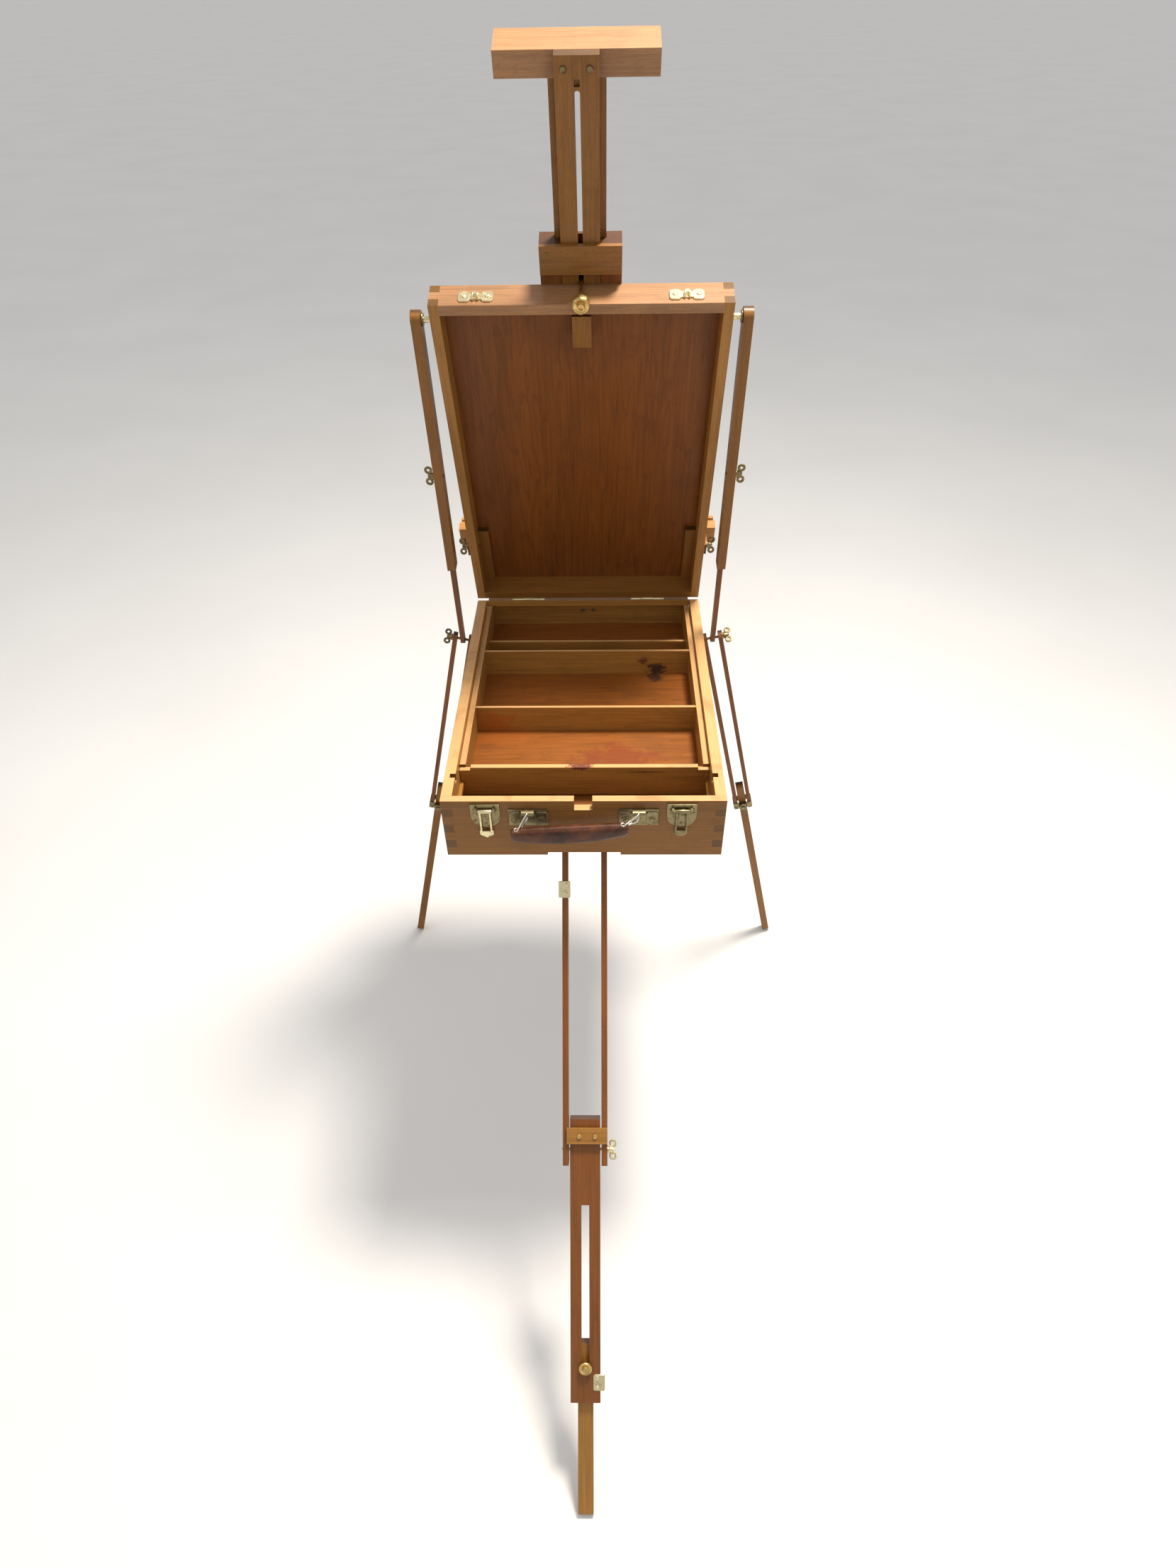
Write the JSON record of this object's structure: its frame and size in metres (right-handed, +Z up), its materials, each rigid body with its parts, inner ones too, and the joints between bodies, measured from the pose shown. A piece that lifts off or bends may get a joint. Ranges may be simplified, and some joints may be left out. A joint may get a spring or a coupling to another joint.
{
  "type": "box easel",
  "caption": "Folding wooden box easel with a sliding paint tray, a tilting lid with sliding mast and canvas ledge, folding side struts and extending splayed legs.",
  "frame": {"origin": "on the floor, at the middle of the object's footprint", "axes": "+Z up; +X to the right seen from the handle side; +Y from the handle side of the box towards the painter's side"},
  "size_m": [0.8746, 1.2742, 1.7158],
  "materials": {
    "beech_body": "worn satin varnish",
    "beech_light": "worn satin varnish",
    "reddish_ply": "worn satin varnish",
    "reddish_beech": "worn satin varnish",
    "pale_brass": "aged satin",
    "olive_bronze": "tarnished satin",
    "brown_leather": "glossy"
  },
  "bodies": {
    "box": {"box_front_wall": "beech_body", "box_left_wall": "beech_light", "box_right_wall": "beech_light", "box_bottom": "reddish_ply", "hinge_rail": "beech_body", "tray_runners": "beech_light", "box_hinge_leaves": "pale_brass", "lid_hinge_pins": "pale_brass", "latch_plates": "olive_bronze", "handle_brackets": "olive_bronze", "side_leg_blocks": "beech_light", "front_leg_bolts": "reddish_beech"},
    "tray": {"tray_near_panel": "beech_body", "tray_front_panel": "beech_body", "tray_pull": "reddish_beech", "tray_sides": "beech_light", "tray_floor": "reddish_ply", "tray_dividers": "beech_body"},
    "lid": {"lid_top_wall": "beech_light", "lid_bottom_wall": "beech_body", "lid_side_walls": "beech_light", "lid_panel": "reddish_ply", "lid_inner_blocks": "beech_light", "lid_catch_plates": "pale_brass", "lid_hinge_leaves": "pale_brass", "strut_brackets": "pale_brass", "mast_guide": "reddish_beech", "mast_bridge": "beech_body"},
    "mast": {"mast_stem": "reddish_beech", "mast_head": "beech_light"},
    "mast_clamp": {"mast_clamp_knob": "pale_brass"},
    "ledge": {"canvas_ledge": "beech_body", "ledge_arms": "beech_light"},
    "ledge_nut_left": {"left_ledge_wing_nut": "pale_brass"},
    "ledge_nut_right": {"right_ledge_wing_nut": "pale_brass"},
    "strut_left": {"left_strut_bar": "reddish_beech"},
    "strut_right": {"right_strut_bar": "reddish_beech"},
    "strut_upper_left": {"left_strut_channel": "reddish_beech"},
    "strut_upper_right": {"right_strut_channel": "reddish_beech"},
    "strut_nut_left": {"strut_wing_nuts_left": "pale_brass"},
    "strut_nut_right": {"strut_wing_nuts_right": "pale_brass"},
    "leg_left": {"left_leg_rails": "reddish_beech", "left_leg_collar": "olive_bronze"},
    "leg_right": {"right_leg_rails": "reddish_beech", "right_leg_collar": "olive_bronze"},
    "foot_left": {"left_foot_bar": "beech_body"},
    "foot_right": {"right_foot_bar": "beech_body"},
    "leg_nut_left": {"left_leg_wing_nut": "pale_brass"},
    "leg_nut_right": {"right_leg_wing_nut": "pale_brass"},
    "leg_knob_left": {"left_leg_knob": "pale_brass"},
    "leg_knob_right": {"right_leg_knob": "pale_brass"},
    "leg_front": {"front_leg_rails": "reddish_beech", "front_leg_crosspiece": "beech_light"},
    "leg_front_lower": {"front_leg_board": "reddish_beech"},
    "foot_front": {"front_foot_bar": "beech_light"},
    "foot_front_knob": {"front_foot_knob": "pale_brass"},
    "knee_nut": {"front_leg_wing_nut": "pale_brass"},
    "handle": {"handle_grip": "brown_leather"},
    "latch_left": {"left_latch_loop": "pale_brass"},
    "latch_right": {"right_latch_loop": "pale_brass"}
  },
  "joints": [
    {"name": "lid_tilt", "type": "hinge", "parent": "box", "child": "lid", "pos_m": [0, 0.58363, 0.906], "axis": [1, 0, 0], "range_deg": [0, 71.2]},
    {"name": "strut_fold_left", "type": "hinge", "parent": "box", "child": "strut_left", "pos_m": [-0.225, 0.49833, 0.875], "axis": [1, 0, 0], "range_deg": [0, 76.8]},
    {"name": "strut_slide_left", "type": "slide", "parent": "strut_left", "child": "strut_upper_left", "axis": [0, -0.1174, 0.9931], "range_m": [-0.0964, 0]},
    {"name": "strut_nut_turn_left", "type": "hinge", "parent": "strut_upper_left", "child": "strut_nut_left", "pos_m": [-0.225, 0.46123, 1.18881], "axis": [1, 0, 0], "continuous": true},
    {"name": "strut_fold_right", "type": "hinge", "parent": "box", "child": "strut_right", "pos_m": [0.225, 0.49833, 0.875], "axis": [1, 0, 0], "range_deg": [0, 76.8]},
    {"name": "strut_slide_right", "type": "slide", "parent": "strut_right", "child": "strut_upper_right", "axis": [0, -0.1174, 0.9931], "range_m": [-0.0964, 0]},
    {"name": "strut_nut_turn_right", "type": "hinge", "parent": "strut_upper_right", "child": "strut_nut_right", "pos_m": [0.225, 0.46123, 1.18881], "axis": [1, 0, 0], "continuous": true},
    {"name": "tray_slide", "type": "slide", "parent": "box", "child": "tray", "axis": [0, 1, 0], "range_m": [-0.032, 0.3]},
    {"name": "mast_slide", "type": "slide", "parent": "lid", "child": "mast", "axis": [0, -0.3206, 0.9472], "range_m": [-0.15, 0.115]},
    {"name": "ledge_slide", "type": "slide", "parent": "lid", "child": "ledge", "axis": [0, -0.3206, 0.9472], "range_m": [-0.028, 0.134]},
    {"name": "mast_clamp_turn", "type": "hinge", "parent": "lid", "child": "mast_clamp", "pos_m": [0, 0.39714, 1.44137], "axis": [0, -0.9472, -0.3206], "continuous": true},
    {"name": "ledge_nut_turn_left", "type": "hinge", "parent": "ledge", "child": "ledge_nut_left", "pos_m": [-0.209, 0.56856, 1.01914], "axis": [1, 0, 0], "continuous": true},
    {"name": "ledge_nut_turn_right", "type": "hinge", "parent": "ledge", "child": "ledge_nut_right", "pos_m": [0.209, 0.56856, 1.01914], "axis": [1, 0, 0], "continuous": true},
    {"name": "leg_fold_left", "type": "hinge", "parent": "box", "child": "leg_left", "pos_m": [-0.225, 0.49833, 0.875], "axis": [-0.9736, 0, 0.2283], "range_deg": [0, 94.4]},
    {"name": "foot_slide_left", "type": "slide", "parent": "leg_left", "child": "foot_left", "axis": [-0.2277, 0.0767, -0.9707], "range_m": [-0.21, 0]},
    {"name": "leg_nut_turn_left", "type": "hinge", "parent": "box", "child": "leg_nut_left", "pos_m": [-0.225, 0.49833, 0.875], "axis": [-0.9736, 0, 0.2283], "continuous": true},
    {"name": "leg_knob_turn_left", "type": "hinge", "parent": "leg_left", "child": "leg_knob_left", "pos_m": [-0.32404, 0.5317, 0.45274], "axis": [-0.0175, -0.9971, -0.0747], "continuous": true},
    {"name": "leg_fold_right", "type": "hinge", "parent": "box", "child": "leg_right", "pos_m": [0.225, 0.49833, 0.875], "axis": [-0.9736, 0, -0.2283], "range_deg": [0, 94.4]},
    {"name": "foot_slide_right", "type": "slide", "parent": "leg_right", "child": "foot_right", "axis": [0.2277, 0.0767, -0.9707], "range_m": [-0.21, 0]},
    {"name": "leg_nut_turn_right", "type": "hinge", "parent": "box", "child": "leg_nut_right", "pos_m": [0.225, 0.49833, 0.875], "axis": [0.9736, 0, 0.2283], "continuous": true},
    {"name": "leg_knob_turn_right", "type": "hinge", "parent": "leg_right", "child": "leg_knob_right", "pos_m": [0.32404, 0.5317, 0.45274], "axis": [0.0175, -0.9971, -0.0747], "continuous": true},
    {"name": "front_leg_fold", "type": "hinge", "parent": "box", "child": "leg_front", "pos_m": [0, 0.08133, 0.812], "axis": [1, 0, 0], "range_deg": [0, 125]},
    {"name": "front_knee_fold", "type": "hinge", "parent": "leg_front", "child": "leg_front_lower", "pos_m": [0, -0.25593, 0.43612], "axis": [-1, 0, 0], "range_deg": [0, 100]},
    {"name": "front_foot_slide", "type": "slide", "parent": "leg_front_lower", "child": "foot_front", "axis": [0, -0.6678, -0.7443], "range_m": [-0.24, 0]},
    {"name": "foot_knob_turn", "type": "hinge", "parent": "foot_front", "child": "foot_front_knob", "pos_m": [0, -0.48501, 0.19428], "axis": [0, -0.7443, 0.6678], "continuous": true},
    {"name": "knee_nut_turn", "type": "hinge", "parent": "leg_front", "child": "knee_nut", "pos_m": [0, -0.25593, 0.43612], "axis": [1, 0, 0], "continuous": true},
    {"name": "handle_swing", "type": "hinge", "parent": "box", "child": "handle", "pos_m": [0, 0.01333, 0.888], "axis": [-1, 0, 0], "range_deg": [0, 75]},
    {"name": "latch_swing_left", "type": "hinge", "parent": "box", "child": "latch_left", "pos_m": [-0.14, 0.01533, 0.891], "axis": [-1, 0, 0], "range_deg": [0, 175]},
    {"name": "latch_swing_right", "type": "hinge", "parent": "box", "child": "latch_right", "pos_m": [0.14, 0.01533, 0.891], "axis": [-1, 0, 0], "range_deg": [0, 175]}
  ],
  "couplings": [
    {"joint": "strut_fold_left", "follows": "lid_tilt", "ratio": 1.0723},
    {"joint": "strut_slide_left", "follows": "lid_tilt", "m_per_rad": -0.07718},
    {"joint": "strut_fold_right", "follows": "lid_tilt", "ratio": 1.0723},
    {"joint": "strut_slide_right", "follows": "lid_tilt", "m_per_rad": -0.07718}
  ]
}
